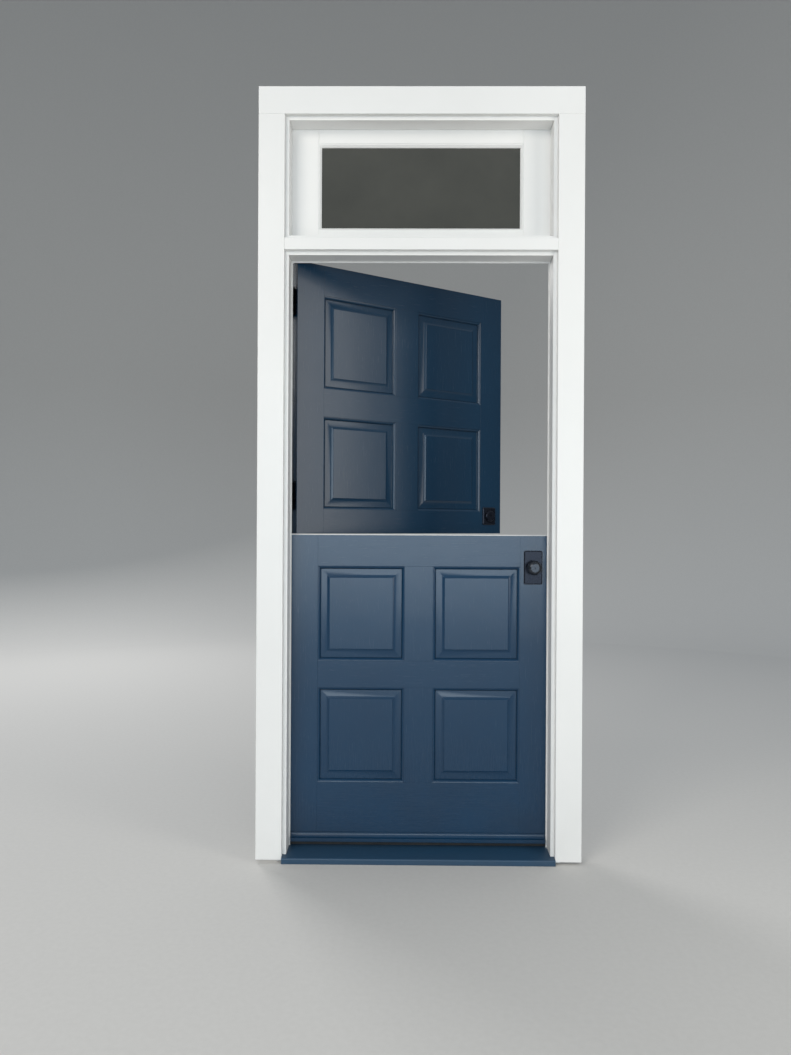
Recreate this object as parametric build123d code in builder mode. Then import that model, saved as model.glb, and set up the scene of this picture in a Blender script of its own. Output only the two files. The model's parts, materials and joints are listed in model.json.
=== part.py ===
from build123d import *
import os
from math import radians, sin

# A stable door in its frame, seen from outside: X runs to the right, Y into the house and Z up.
# The origin is on the floor under the middle of the sill, in the plane behind the casing boards.

# Leaf: a standard door cut in two across its lock height
leaf_width = 914.0
leaf_height = 2032.0
leaf_thickness = 44.5
lower_leaf_height = 1072.0
meeting_gap = 4.0
side_gap = 3.0
head_gap = 3.0
bottom_gap = 10.5
upper_rest_angle = 32.5

# Faces of the stiles, mullions and rails between their mouldings
stile_face = 104.5
mullion_face = 99.0
lower_top_face = 108.0
lower_mid_face = 93.0
lower_bottom_face = 209.0
upper_top_face = 107.0
upper_mid_face = 100.0
upper_bottom_face = 87.0

# Moulding and groove along the edges of the panel openings
moulding_width = 10.0
moulding_quirk = 2.0
moulding_fillet = 1.0
groove_depth = 10.0
groove_width = 12.0

# Raised panels, alike on both faces
tongue_fit = 0.2
panel_play = 0.5
panel_depth = 11.5
panel_margin = 21.0
margin_rise = 1.5
field_slope = 9.5
field_step = 1.0
field_depth = 3.5

# Jambs, head and transom bar
jamb_depth = 116.0
jamb_thickness = 32.0
rabbet_step = 11.0
stop_gap = 5.0
transom_bar_height = 67.0
jamb_screw_radius = 2.5
jamb_screw_pitch_y = 25.0
jamb_screw_pitch_z = 1000.0
jamb_screw_middle = 1082.0

# Casing boards round the outside
casing_width = 89.0
casing_head_height = 93.0
casing_thickness = 19.0
casing_reveal = 13.0
casing_foot_gap = 10.0
casing_round = 2.0

# Sill
sill_height = 26.5
sill_nose_height = 19.5
sill_overhang = 11.0
sill_round = 5.0

# Weatherstrip, sweep and meeting seal
weatherstrip_lip = 4.5
weatherstrip_clearance = 0.4
weatherstrip_edge = 1.5
sweep_clearance = 0.5
sweep_base = 3.0
sweep_fin = 2.0
sweep_fins = 3
sweep_inset = 5.0
seal_clearance = 0.6
seal_width = 9.0
seal_inset = 5.0

# Fixed sash of the transom
sash_height = 410.0
sash_thickness = 44.5
sash_fit = 1.5
sash_stile_face = 102.5
sash_top_face = 57.5
sash_bottom_face = 51.0
bead_width = 10.0
bead_depth = 14.0
bead_setback = 2.0
bead_chamfer = 7.0
glass_thickness = 18.0
glass_play = 1.0

# Drip moulding on the lower leaf
drip_height = 27.0
drip_projection = 20.0
drip_above_edge = 9.0
drip_top_ledge = 4.0
drip_nose = 11.0
drip_nose_ledge = 3.0
drip_end_gap = 8.0
drip_groove_radius = 1.5

# Butt hinges, two to each leaf
hinge_height = 102.0
hinge_inset = 135.0
hinge_plate_depth = 36.0
hinge_plate_thickness = 3.0
hinge_pin_offset = 8.0
hinge_knuckles = 5
knuckle_radius = 6.3
knuckle_gap = 0.3
knuckle_clearance = 0.4
pin_radius = 3.5
pin_clearance = 0.05
pin_cap_radius = 5.0
pin_cap_height = 4.0

# Locks: knob set and latch in the lower leaf, deadbolt in the upper leaf
backset = 60.0
knob_below_edge = 110.0
deadbolt_above_edge = 70.0
cross_bore_radius = 27.0
edge_bore_radius = 12.7
case_radius = 12.2
case_past_spindle = 14.0
faceplate_width = 25.4
faceplate_height = 57.0
faceplate_thickness = 2.5
faceplate_corner = 6.0
mortise_fit = 0.2
spindle_radius = 6.5
running_clearance = 0.06
slide_clearance = 0.3
latch_throw = 12.0
latch_height = 16.0
latch_thickness = 12.0
latch_tail = 30.0
latch_tip = 2.0
deadbolt_throw = 25.0
deadbolt_height = 20.0
deadbolt_thickness = 14.0
deadbolt_hold = 21.0
deadbolt_round = 3.0

# Strikes in the strike jamb
strike_height = 57.0
strike_thickness = 2.0
strike_lip = 3.0
strike_front_margin = 14.0
strike_hole_height = 26.0
strike_hole_width = 18.0
pocket_clearance = 3.0

# Plates, knobs and turns
plate_width = 63.5
knob_plate_height = 117.0
deadbolt_plate_height = 70.0
plate_thickness = 6.0
plate_corner = 5.0
plate_bevel = 3.0
plate_seat = 1.0
knob_radius = 25.0
knob_neck_radius = 13.0
knob_neck_end = 11.0
knob_widest = 32.0
knob_length = 48.0
knob_face_radius = 14.0
knob_face_step = 1.0
knob_boss_radius = 10.0
key_plug_radius = 6.0
key_plug_groove = 0.6
keyway_width = 1.8
keyway_height = 8.0
keyway_depth = 3.0
socket_depth = 12.0
button_radius = 6.5
button_depth = 8.0
button_wing_width = 3.5
button_wing_height = 12.0
button_wing_length = 7.0
cylinder_radius = 22.0
cylinder_height = 9.0
cylinder_bevel = 3.0
turn_rose_radius = 12.0
turn_rose_height = 5.0
turn_wing_width = 7.0
turn_wing_height = 36.0
turn_wing_length = 16.0

# Surface bolt that joins the leaves, inside
bolt_from_edge = 150.0
bolt_plate_width = 24.0
bolt_plate_height = 80.0
bolt_plate_thickness = 2.5
bolt_above_edge = 6.0
bolt_guide_width = 18.0
bolt_guide_height = 12.0
bolt_guide_depth = 15.0
bolt_rod_radius = 4.0
bolt_rod_offset = 9.5
bolt_rod_tail = 6.0
bolt_handle_radius = 3.5
bolt_handle_length = 15.0
bolt_handle_from_top = 24.0
keeper_height = 22.0
keeper_hole_clearance = 0.6

# Planes and heights that several pieces share
half_leaf = leaf_width / 2
half_rabbet = half_leaf + side_gap
half_opening = half_rabbet - rabbet_step
half_frame = half_opening + jamb_thickness
leaf_back = jamb_depth
leaf_front = leaf_back - leaf_thickness
leaf_middle = (leaf_front + leaf_back) / 2
stop_face = leaf_front - stop_gap
lower_bottom = sill_height + bottom_gap
lower_top = lower_bottom + lower_leaf_height
upper_bottom = lower_top + meeting_gap
upper_top = lower_bottom + leaf_height
upper_leaf_height = upper_top - upper_bottom
bar_rabbet = upper_top + head_gap
bar_bottom = bar_rabbet - rabbet_step
bar_top = bar_bottom + transom_bar_height
light_rabbet = bar_top - rabbet_step
sash_bottom = light_rabbet + sash_fit
sash_top = sash_bottom + sash_height
head_rabbet = sash_top + sash_fit
head_bottom = head_rabbet - rabbet_step
frame_top = head_bottom + jamb_thickness
half_casing_inside = half_opening + casing_reveal
half_casing_outside = half_casing_inside + casing_width
casing_head_bottom = head_bottom + casing_reveal
pin_x = -half_leaf - side_gap / 2
pin_y = leaf_back + hinge_pin_offset
hinge_axis = Axis((pin_x, pin_y, 0), (0, 0, 1))
lower_hinge_heights = (lower_bottom + hinge_inset, lower_top - hinge_inset)
upper_hinge_heights = (upper_bottom + hinge_inset, upper_top - hinge_inset)
lock_x = half_leaf - backset
knob_z = lower_top - knob_below_edge
deadbolt_z = upper_bottom + deadbolt_above_edge

pieces = {}


# Sections and joinery of the leaves

def member_section(width, moulded_low, moulded_high):
    """Section of a stile, rail or mullion, its outer face on the sketch's X axis."""
    round_radius = moulding_width - moulding_fillet
    with BuildSketch() as section:
        with Locations((width / 2, leaf_thickness / 2)):
            Rectangle(width, leaf_thickness)
        for moulded, edge, inward in ((moulded_low, 0, 1), (moulded_high, width, -1)):
            if not moulded:
                continue
            shoulder = edge + inward * moulding_width
            arris = edge + inward * moulding_fillet
            for face, depth in ((0, 1), (leaf_thickness, -1)):
                quirk = face + depth * moulding_quirk
                foot = quirk + depth * round_radius
                slant = round_radius * sin(radians(45))
                with BuildLine():
                    Polyline((edge, foot), (edge, face), (shoulder, face), (shoulder, quirk))
                    ThreePointArc((shoulder, quirk), (shoulder - inward * slant, foot - depth * slant),
                                  (arris, foot))
                    Line((arris, foot), (edge, foot))
                make_face(mode=Mode.SUBTRACT)
            with Locations((edge, leaf_thickness / 2)):
                Rectangle(2 * groove_depth, groove_width, mode=Mode.SUBTRACT)
    return section.sketch


def upright(x, z, width, length, moulded_low, moulded_high):
    """A stile or mullion from its left edge at x and its foot at z."""
    with BuildPart() as member:
        with BuildSketch(Plane((x, leaf_front, z))):
            add(member_section(width, moulded_low, moulded_high))
        extrude(amount=length)
    return member.part


def crosswise(z, width, moulded_low, moulded_high):
    """A rail from its lower edge at z, running a little way into both stiles."""
    length = leaf_width - 2 * (stile_face - moulding_width)
    across = Plane((length / 2, leaf_front, z), x_dir=(0, 0, 1), z_dir=(-1, 0, 0))
    with BuildPart() as member:
        with BuildSketch(across):
            add(member_section(width, moulded_low, moulded_high))
        extrude(amount=length)
    return member.part


def coped(member, *neighbours):
    """The member with its ends cut over its neighbours' mouldings and into their grooves."""
    with BuildPart() as piece:
        add(member)
        for neighbour in neighbours:
            add(neighbour, mode=Mode.SUBTRACT)
    return piece.part


def raised_panel(x, z, opening_width, opening_height):
    """A panel centred at x and z, raised on both faces and held in the grooves."""
    middle = Plane((x, leaf_middle, z), x_dir=(1, 0, 0), z_dir=(0, -1, 0))
    clear_width = opening_width - 2 * moulding_width
    clear_height = opening_height - 2 * moulding_width
    border_height = leaf_thickness / 2 - panel_depth
    margin_height = border_height + margin_rise
    slope_height = leaf_thickness / 2 - field_depth - field_step
    slope_inset = panel_play + panel_margin
    field_inset = slope_inset + field_slope

    def outline(height, inset):
        with BuildSketch(middle.offset(height)) as sketch:
            Rectangle(clear_width - 2 * inset, clear_height - 2 * inset)
        return sketch.sketch

    with BuildPart() as panel:
        extrude(outline(0, panel_play - groove_depth), amount=groove_width / 2 - tongue_fit)
        extrude(outline(0, panel_play), amount=border_height)
        loft([outline(border_height, panel_play), outline(margin_height, slope_inset)])
        loft([outline(margin_height, slope_inset), outline(slope_height, field_inset)])
        extrude(outline(slope_height, field_inset), amount=field_step)
        mirror(about=middle)
    return panel.part


def framed_leaf(prefix, bottom, height, bottom_face, mid_face, top_face):
    """Stiles, rails, mullions and panels of one closed leaf, by name."""
    opening_height = (height - bottom_face - mid_face - top_face) / 2
    opening_width = (leaf_width - 2 * stile_face - mullion_face) / 2
    low_opening = bottom + bottom_face
    mid_rail = low_opening + opening_height
    high_opening = mid_rail + mid_face
    top_rail = high_opening + opening_height
    stile_width = stile_face + moulding_width

    hinge_stile = upright(-half_leaf, bottom, stile_width, height, False, True)
    lock_stile = upright(half_leaf - stile_width, bottom, stile_width, height, True, False)
    stiles = (hinge_stile, lock_stile)
    rails = [
        coped(crosswise(bottom, bottom_face + moulding_width, False, True), *stiles),
        coped(crosswise(mid_rail - moulding_width, mid_face + 2 * moulding_width, True, True), *stiles),
        coped(crosswise(top_rail - moulding_width, top_face + moulding_width, True, False), *stiles),
    ]
    mullion_width = mullion_face + 2 * moulding_width
    mullion_length = opening_height + 2 * moulding_width
    mullions = []
    for row, opening in enumerate((low_opening, high_opening)):
        foot = opening - moulding_width
        mullion = upright(-mullion_width / 2, foot, mullion_width, mullion_length, True, True)
        mullions.append(coped(mullion, rails[row], rails[row + 1]))

    members = {
        prefix + "_hinge_stile": hinge_stile,
        prefix + "_lock_stile": lock_stile,
        prefix + "_bottom_rail": rails[0],
        prefix + "_mid_rail": rails[1],
        prefix + "_top_rail": rails[2],
        prefix + "_mullions": Compound(children=mullions),
    }
    panel_x = (mullion_face + opening_width) / 2
    for row, opening in (("bottom", low_opening), ("top", high_opening)):
        for side, x in (("left", -panel_x), ("right", panel_x)):
            panel = raised_panel(x, opening + opening_height / 2, opening_width, opening_height)
            members[f"{prefix}_panel_{row}_{side}"] = panel
    return members


def hinge_stile_with_mortises(stile, heights):
    """The stile with a mortise for each hinge plate."""
    with BuildPart() as piece:
        add(stile)
        with Locations(*[(-half_leaf, leaf_back, z) for z in heights]):
            Box(hinge_plate_thickness, hinge_plate_depth, hinge_height,
                align=(Align.MIN, Align.MAX, Align.CENTER), mode=Mode.SUBTRACT)
    return piece.part


def lock_stile_with_bores(stile, z):
    """The stile bored through its face and its edge, and mortised for the faceplate."""
    edge = Plane((half_leaf, leaf_middle, z), x_dir=(0, 1, 0), z_dir=(1, 0, 0))
    with BuildPart() as piece:
        add(stile)
        with Locations(Plane((lock_x, leaf_front, z), x_dir=(1, 0, 0), z_dir=(0, -1, 0))):
            Hole(cross_bore_radius)
        with Locations(edge):
            Hole(edge_bore_radius, depth=backset)
        with BuildSketch(edge):
            RectangleRounded(faceplate_width + 2 * mortise_fit, faceplate_height + 2 * mortise_fit,
                             faceplate_corner)
        extrude(amount=-faceplate_thickness, mode=Mode.SUBTRACT)
    return piece.part


lower_members = framed_leaf("lower", lower_bottom, lower_leaf_height,
                            lower_bottom_face, lower_mid_face, lower_top_face)
upper_members = framed_leaf("upper", upper_bottom, upper_leaf_height,
                            upper_bottom_face, upper_mid_face, upper_top_face)
for members, prefix, heights, lock_z in (
    (lower_members, "lower", lower_hinge_heights, knob_z),
    (upper_members, "upper", upper_hinge_heights, deadbolt_z),
):
    hinge_name = prefix + "_hinge_stile"
    lock_name = prefix + "_lock_stile"
    members[hinge_name] = hinge_stile_with_mortises(members[hinge_name], heights)
    members[lock_name] = lock_stile_with_bores(members[lock_name], lock_z)


# Sill: level under the leaf, falling to a rounded nose, with horns beside the casing's feet

sill_nose = -casing_thickness - sill_overhang
with BuildPart() as sill:
    with BuildSketch(Plane((half_frame, 0, 0), x_dir=(0, 1, 0), z_dir=(1, 0, 0))):
        with BuildLine():
            Polyline((sill_nose, 0), (sill_nose, sill_nose_height), (stop_face, sill_height),
                     (jamb_depth, sill_height), (jamb_depth, 0), close=True)
        make_face()
    extrude(amount=-2 * half_frame)
    fillet(sill.edges().filter_by(Axis.X).group_by(Axis.Y)[0].sort_by(Axis.Z)[-1], sill_round)
    with Locations(*[(side * (half_casing_inside + half_frame) / 2, 0, 0) for side in (-1, 1)]):
        Box(half_frame - half_casing_inside, -2 * sill_nose, 3 * sill_height, mode=Mode.SUBTRACT)
pieces["sill"] = sill.part


# Strikes, let into the strike jamb

strike_depth = jamb_depth + strike_lip - stop_face - strike_front_margin
strike_middle = (jamb_depth + strike_lip + stop_face + strike_front_margin) / 2
with BuildPart() as strikes:
    with Locations(*[(half_rabbet, strike_middle, z) for z in (knob_z, deadbolt_z)]):
        Box(strike_thickness, strike_depth, strike_height, align=(Align.MIN, Align.CENTER, Align.CENTER))
    fillet(strikes.edges().filter_by(Axis.X), faceplate_corner)
    with Locations(*[(half_rabbet, leaf_middle, z) for z in (knob_z, deadbolt_z)]):
        Box(3 * strike_thickness, strike_hole_width, strike_hole_height, mode=Mode.SUBTRACT)
pieces["strike_plates"] = strikes.part


# Jambs: a leg with a rabbet behind the stop, standing on the sill

def jamb_leg(side):
    """The jamb on one side: -1 carries the hinges and 1 the strikes."""
    with BuildPart() as leg:
        with BuildSketch():
            with BuildLine():
                Polyline((side * half_frame, 0), (side * half_opening, 0), (side * half_opening, stop_face),
                         (side * half_rabbet, stop_face), (side * half_rabbet, jamb_depth),
                         (side * half_frame, jamb_depth), close=True)
            make_face()
        extrude(amount=frame_top)
        add(sill.part, mode=Mode.SUBTRACT)
        with Locations(Plane((side * half_rabbet, leaf_middle, jamb_screw_middle), x_dir=(0, 1, 0),
                             z_dir=(-side, 0, 0))):
            with GridLocations(jamb_screw_pitch_y, jamb_screw_pitch_z, 2, 2):
                Hole(jamb_screw_radius, depth=2 * jamb_thickness)
    return leg.part


with BuildPart() as hinge_jamb:
    add(jamb_leg(-1))
    with Locations(*[(-half_rabbet, jamb_depth, z) for z in lower_hinge_heights + upper_hinge_heights]):
        Box(hinge_plate_thickness, hinge_plate_depth, hinge_height,
            align=(Align.MAX, Align.MAX, Align.CENTER), mode=Mode.SUBTRACT)
pieces["hinge_jamb"] = hinge_jamb.part

with BuildPart() as strike_jamb:
    add(jamb_leg(1))
    with Locations(*[(half_rabbet, strike_middle, z) for z in (knob_z, deadbolt_z)]):
        Box(strike_thickness, strike_depth + 2 * mortise_fit, strike_height + 2 * mortise_fit,
            align=(Align.MIN, Align.CENTER, Align.CENTER), mode=Mode.SUBTRACT)
    for z, throw in ((knob_z, latch_throw), (deadbolt_z, deadbolt_throw)):
        with Locations((half_rabbet, leaf_middle, z)):
            Box(throw + pocket_clearance, strike_hole_width, strike_hole_height,
                align=(Align.MIN, Align.CENTER, Align.CENTER), mode=Mode.SUBTRACT)
pieces["strike_jamb"] = strike_jamb.part


# Head and transom bar, notched round the legs

def between_jambs(profile):
    """A member with this profile in Y and Z, fitted between the legs' rabbets."""
    with BuildPart() as member:
        with BuildSketch(Plane((half_rabbet, 0, 0), x_dir=(0, 1, 0), z_dir=(1, 0, 0))):
            with BuildLine():
                Polyline(*profile, close=True)
            make_face()
        extrude(amount=-2 * half_rabbet)
        add(jamb_leg(-1), mode=Mode.SUBTRACT)
        add(jamb_leg(1), mode=Mode.SUBTRACT)
    return member.part


pieces["head_jamb"] = between_jambs([
    (0, head_bottom), (stop_face, head_bottom), (stop_face, head_rabbet),
    (jamb_depth, head_rabbet), (jamb_depth, frame_top), (0, frame_top),
])
pieces["transom_bar"] = between_jambs([
    (0, bar_bottom), (stop_face, bar_bottom), (stop_face, bar_rabbet), (jamb_depth, bar_rabbet),
    (jamb_depth, light_rabbet), (stop_face, light_rabbet), (stop_face, bar_top), (0, bar_top),
])


# Casing: two legs under a head board, and a band across the transom bar

def casing_board(x_low, x_high, z_low, z_high):
    """A board with eased front edges, its back in the plane of the jambs' front."""
    with BuildPart() as board:
        with Locations((x_low, 0, z_low)):
            Box(x_high - x_low, casing_thickness, z_high - z_low,
                align=(Align.MIN, Align.MAX, Align.MIN))
        long_axis = Axis.Z if z_high - z_low > x_high - x_low else Axis.X
        front = board.edges().filter_by(long_axis).group_by(Axis.Y)[0]
        fillet(front, casing_round)
    return board.part


pieces["casing_left"] = casing_board(-half_casing_outside, -half_casing_inside,
                                     casing_foot_gap, casing_head_bottom)
pieces["casing_right"] = casing_board(half_casing_inside, half_casing_outside,
                                      casing_foot_gap, casing_head_bottom)
pieces["casing_head"] = casing_board(-half_casing_outside, half_casing_outside,
                                     casing_head_bottom, casing_head_bottom + casing_head_height)
pieces["casing_transom"] = casing_board(-half_casing_inside, half_casing_inside,
                                        bar_bottom + casing_reveal, bar_top - casing_reveal)


# Weatherstrips on the stops, squeezed by the closed leaf and showing past the stops' corners

strip_back = leaf_front - weatherstrip_clearance
strip_lip = half_opening - weatherstrip_lip
with BuildPart() as side_strips:
    for side in (-1, 1):
        with Locations((side * strip_lip, stop_face, sill_height)):
            Box(half_leaf - strip_lip, strip_back - stop_face, bar_rabbet - sill_height,
                align=(Align.MIN if side > 0 else Align.MAX, Align.MIN, Align.MIN))
    lips = side_strips.edges().filter_by(Axis.Z)
    fillet(lips.filter_by(lambda edge: abs(edge.center().X) < half_opening), weatherstrip_edge)
pieces["weatherstrip_sides"] = side_strips.part

with BuildPart() as head_strip:
    with Locations((0, stop_face, bar_bottom - weatherstrip_lip)):
        Box(2 * strip_lip, strip_back - stop_face, upper_top - bar_bottom + weatherstrip_lip,
            align=(Align.CENTER, Align.MIN, Align.MIN))
    fillet(head_strip.edges().filter_by(Axis.X).group_by(Axis.Z)[0], weatherstrip_edge)
pieces["weatherstrip_head"] = head_strip.part


# Transom sash, fixed against the stop, glazed from outside

glass_front = stop_face + bead_depth
half_sash = half_rabbet - sash_fit
half_light = half_sash - sash_stile_face
light_bottom = sash_bottom + sash_bottom_face
light_top = sash_top - sash_top_face


def sash_member(section_plane, face, length, *neighbours):
    """A sash member with the glass rabbet outside and a lip inside, coped over its neighbours."""
    with BuildPart() as member:
        with BuildSketch(section_plane):
            with BuildLine():
                Polyline((0, 0), (face, 0), (face, bead_depth + glass_thickness),
                         (face + bead_width, bead_depth + glass_thickness),
                         (face + bead_width, sash_thickness), (0, sash_thickness), close=True)
            make_face()
        extrude(amount=length)
        for neighbour in neighbours:
            add(neighbour, mode=Mode.SUBTRACT)
    return member.part


sash_left = sash_member(Plane((-half_sash, stop_face, sash_bottom)), sash_stile_face, sash_height)
sash_right = sash_member(Plane((half_sash, stop_face, sash_top), x_dir=(-1, 0, 0), z_dir=(0, 0, -1)),
                         sash_stile_face, sash_height)
pieces["sash_stile_left"] = sash_left
pieces["sash_stile_right"] = sash_right
pieces["sash_bottom_rail"] = sash_member(
    Plane((half_light, stop_face, sash_bottom), x_dir=(0, 0, 1), z_dir=(-1, 0, 0)),
    sash_bottom_face, 2 * half_light, sash_left, sash_right)
pieces["sash_top_rail"] = sash_member(
    Plane((-half_light, stop_face, sash_top), x_dir=(0, 0, -1), z_dir=(1, 0, 0)),
    sash_top_face, 2 * half_light, sash_left, sash_right)

with BuildPart() as transom_glass:
    with Locations((0, glass_front, (light_bottom + light_top) / 2)):
        Box(2 * (half_light - glass_play), glass_thickness, light_top - light_bottom - 2 * glass_play,
            align=(Align.CENTER, Align.MIN, Align.CENTER))
pieces["transom_glass"] = transom_glass.part


def glazing_bead(section_plane, length, *neighbours):
    """A bead against the glass, bevelled towards the light and coped at its ends."""
    with BuildPart() as bead:
        with BuildSketch(section_plane):
            with BuildLine():
                Polyline((0, bead_setback), (bead_width - bead_chamfer, bead_setback),
                         (bead_width, bead_setback + bead_chamfer), (bead_width, bead_depth),
                         (0, bead_depth), close=True)
            make_face()
        extrude(amount=length)
        for neighbour in neighbours:
            add(neighbour, mode=Mode.SUBTRACT)
    return bead.part


light_height = light_top - light_bottom
bead_left = glazing_bead(Plane((-half_light, stop_face, light_bottom)), light_height)
bead_right = glazing_bead(Plane((half_light, stop_face, light_top), x_dir=(-1, 0, 0), z_dir=(0, 0, -1)),
                          light_height)
bead_bottom = glazing_bead(Plane((half_light, stop_face, light_bottom), x_dir=(0, 0, 1), z_dir=(-1, 0, 0)),
                           2 * half_light, bead_left, bead_right)
bead_top = glazing_bead(Plane((-half_light, stop_face, light_top), x_dir=(0, 0, -1), z_dir=(1, 0, 0)),
                        2 * half_light, bead_left, bead_right)
pieces["glazing_beads"] = Compound(children=[bead_left, bead_right, bead_bottom, bead_top])


# Hinges: plates let into jamb and stile, knuckles round a pin inside the house

knuckle_pitch = hinge_height / hinge_knuckles


def hinge_leaves(side, heights):
    """The hinge leaves on one side, -1 on the jamb and 1 on the stile, at these heights."""
    plate_edge = side * side_gap / 2
    own_knuckles = range(0, hinge_knuckles, 2) if side < 0 else range(1, hinge_knuckles, 2)
    plate_align = (Align.MIN if side > 0 else Align.MAX, Align.MAX, Align.CENTER)
    knuckle_height = knuckle_pitch - knuckle_gap
    with BuildPart() as leaves:
        for z in heights:
            with Locations((pin_x + plate_edge, pin_y - knuckle_radius - knuckle_clearance, z)):
                Box(hinge_plate_thickness,
                    hinge_plate_depth + hinge_pin_offset - knuckle_radius - knuckle_clearance,
                    hinge_height, align=plate_align)
            for knuckle in own_knuckles:
                knuckle_z = z + (knuckle - (hinge_knuckles - 1) / 2) * knuckle_pitch
                with Locations((pin_x + plate_edge, pin_y, knuckle_z)):
                    Box(hinge_plate_thickness, 2 * knuckle_radius, knuckle_height, align=plate_align)
                with Locations((pin_x, pin_y, knuckle_z)):
                    Cylinder(knuckle_radius, knuckle_height)
        with Locations(*[(pin_x, pin_y, z) for z in heights]):
            Cylinder(pin_radius + pin_clearance, 2 * hinge_height, mode=Mode.SUBTRACT)
    return leaves.part


pieces["hinge_frame_leaves"] = hinge_leaves(-1, lower_hinge_heights + upper_hinge_heights)

with BuildPart() as hinge_pins:
    for z in lower_hinge_heights + upper_hinge_heights:
        with Locations((pin_x, pin_y, z)):
            Cylinder(pin_radius, hinge_height)
        for end in (-1, 1):
            with Locations((pin_x, pin_y, z + end * (hinge_height + pin_cap_height) / 2)):
                Cylinder(pin_cap_radius, pin_cap_height)
pieces["hinge_pins"] = hinge_pins.part


# Drip moulding: a cove over a square nose, with a groove underneath

drip_bottom = lower_bottom + drip_above_edge
cove_radius = drip_projection - drip_top_ledge - drip_nose_ledge
half_drip = half_opening - drip_end_gap
with BuildPart() as drip_moulding:
    with BuildSketch(Plane((half_drip, leaf_front, drip_bottom), x_dir=(0, -1, 0), z_dir=(-1, 0, 0))):
        with BuildLine():
            slant = cove_radius * sin(radians(45))
            cove_out = drip_top_ledge + cove_radius
            cove_top = drip_nose + cove_radius
            Polyline((cove_out, drip_nose), (drip_projection, drip_nose), (drip_projection, 0), (0, 0),
                     (0, drip_height), (drip_top_ledge, drip_height), (drip_top_ledge, cove_top))
            ThreePointArc((drip_top_ledge, cove_top), (cove_out - slant, cove_top - slant),
                          (cove_out, drip_nose))
        make_face()
        with Locations((drip_projection - 2 * drip_groove_radius, 0)):
            Circle(drip_groove_radius, mode=Mode.SUBTRACT)
    extrude(amount=2 * half_drip)
lower_members["drip_moulding"] = drip_moulding.part


# Sweep under the lower leaf and seal on its top edge

sweep_height = bottom_gap - sweep_clearance
sweep_width = leaf_thickness - 2 * sweep_inset
with BuildPart() as door_sweep:
    with Locations((0, leaf_middle, lower_bottom)):
        Box(leaf_width, sweep_width, sweep_base, align=(Align.CENTER, Align.CENTER, Align.MAX))
    with Locations((0, leaf_middle, lower_bottom)):
        with GridLocations(leaf_width, (sweep_width - sweep_fin) / (sweep_fins - 1), 1, sweep_fins):
            Box(leaf_width, sweep_fin, sweep_height, align=(Align.CENTER, Align.CENTER, Align.MAX))
lower_members["door_sweep"] = door_sweep.part

seal_height = meeting_gap - seal_clearance
with BuildPart() as meeting_seal:
    with Locations((0, leaf_front + seal_inset, lower_top)):
        Box(leaf_width, seal_width, seal_height, align=(Align.CENTER, Align.MIN, Align.MIN))
    fillet(meeting_seal.edges().filter_by(Axis.X).group_by(Axis.Z)[-1], seal_height / 2)
lower_members["meeting_seal"] = meeting_seal.part

lower_members["lower_hinge_leaves"] = hinge_leaves(1, lower_hinge_heights)
upper_members["upper_hinge_leaves"] = hinge_leaves(1, upper_hinge_heights)


# Lock cases: a tube from the leaf's edge past the spindle, with a faceplate

def lock_case(z, bolt_thickness, bolt_height, channel_length):
    """A lock case at height z with a channel for its bolt and a hole for its spindle."""
    edge = Plane((half_leaf, leaf_middle, z), x_dir=(0, 1, 0), z_dir=(1, 0, 0))
    with BuildPart() as case:
        with Locations(edge):
            Cylinder(case_radius, backset + case_past_spindle, align=(Align.CENTER, Align.CENTER, Align.MAX))
        with BuildSketch(edge):
            RectangleRounded(faceplate_width, faceplate_height, faceplate_corner)
        extrude(amount=-faceplate_thickness)
        with Locations(edge):
            Box(bolt_thickness + 2 * slide_clearance, bolt_height + 2 * slide_clearance,
                2 * channel_length, mode=Mode.SUBTRACT)
        with Locations(Plane((lock_x, leaf_front, z), x_dir=(1, 0, 0), z_dir=(0, -1, 0))):
            Hole(spindle_radius + running_clearance)
    return case.part


latch_nose = half_leaf + latch_throw
latch_channel = latch_tail + latch_throw + slide_clearance
lower_members["latch_case"] = lock_case(knob_z, latch_thickness, latch_height, latch_channel)

with BuildPart() as latch_bolt:
    with BuildSketch(Plane.XY.offset(knob_z - latch_height / 2)):
        with BuildLine():
            outer = leaf_middle - latch_thickness / 2
            inner = leaf_middle + latch_thickness / 2
            Polyline((half_leaf - latch_tail, outer), (half_leaf + latch_tip, outer),
                     (latch_nose, inner - latch_tip), (latch_nose, inner),
                     (half_leaf - latch_tail, inner), close=True)
        make_face()
    extrude(amount=latch_height)
lower_members["latch_bolt"] = latch_bolt.part

deadbolt_length = deadbolt_throw + deadbolt_hold
deadbolt_channel = deadbolt_length + 2 * slide_clearance
upper_members["deadbolt_case"] = lock_case(deadbolt_z, deadbolt_thickness, deadbolt_height,
                                           deadbolt_channel)

with BuildPart() as deadbolt_bolt:
    with Locations((half_leaf - slide_clearance, leaf_middle, deadbolt_z)):
        Box(deadbolt_length, deadbolt_thickness, deadbolt_height,
            align=(Align.MAX, Align.CENTER, Align.CENTER))
    fillet(deadbolt_bolt.faces().sort_by(Axis.X)[-1].edges().filter_by(Axis.Z), deadbolt_round)
upper_members["deadbolt_bolt"] = deadbolt_bolt.part


# Plates and what turns in them

def face_plane(side, z):
    """The plane of the leaf's outer (-1) or inner (1) face, at the lock's backset."""
    y = leaf_front if side < 0 else leaf_back
    return Plane((lock_x, y, z), x_dir=(-side, 0, 0), z_dir=(0, side, 0))


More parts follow.
